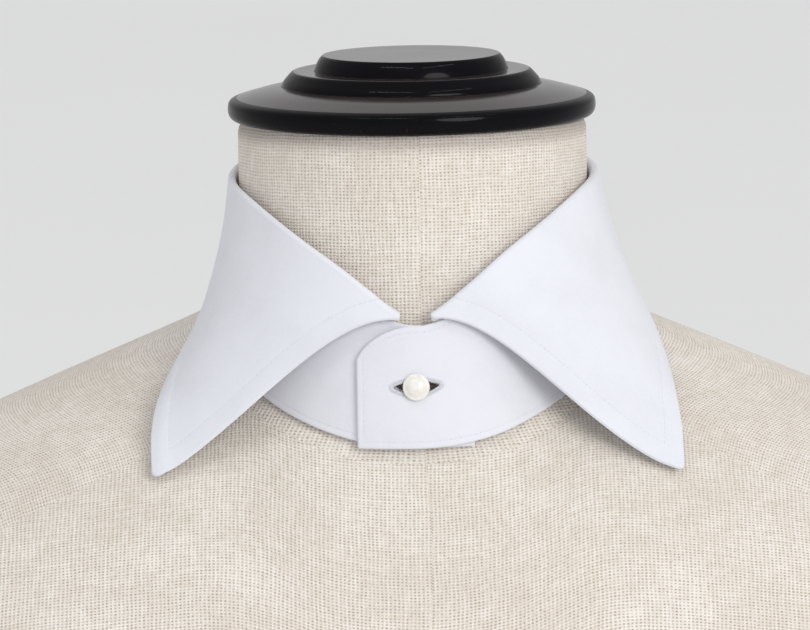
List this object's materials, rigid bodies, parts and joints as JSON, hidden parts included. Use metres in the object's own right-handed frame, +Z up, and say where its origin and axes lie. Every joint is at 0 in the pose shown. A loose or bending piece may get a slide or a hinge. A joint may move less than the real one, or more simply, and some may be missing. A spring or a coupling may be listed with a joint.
{
  "type": "detachable shirt collar on a dress form",
  "caption": "White spread shirt collar with a stand band and a turned-down leaf, closed by a stud and worn on a limbless linen dress form with a turned black cap.",
  "frame": {"origin": "centre of the flat underside of the dress form, on the axis of its neck", "axes": "+Z up, +X towards the wearer's left, -Y towards the front of the collar"},
  "size_m": [0.4076, 0.2395, 0.3566],
  "materials": {
    "collar_cotton": "smooth white cotton, top-stitched along the edges",
    "band_cotton": "smooth white cotton with stitched edges and buttonholes",
    "stud_white": "polished off-white",
    "form_linen": "undyed coarse plain-weave linen",
    "cap_lacquer": "black lacquer, glossy at the rims"
  },
  "bodies": {
    "root": {"collar_leaf": "collar_cotton", "collar_band": "band_cotton", "front_stud": "stud_white", "form_body": "form_linen", "form_cap": "cap_lacquer"}
  },
  "joints": []
}
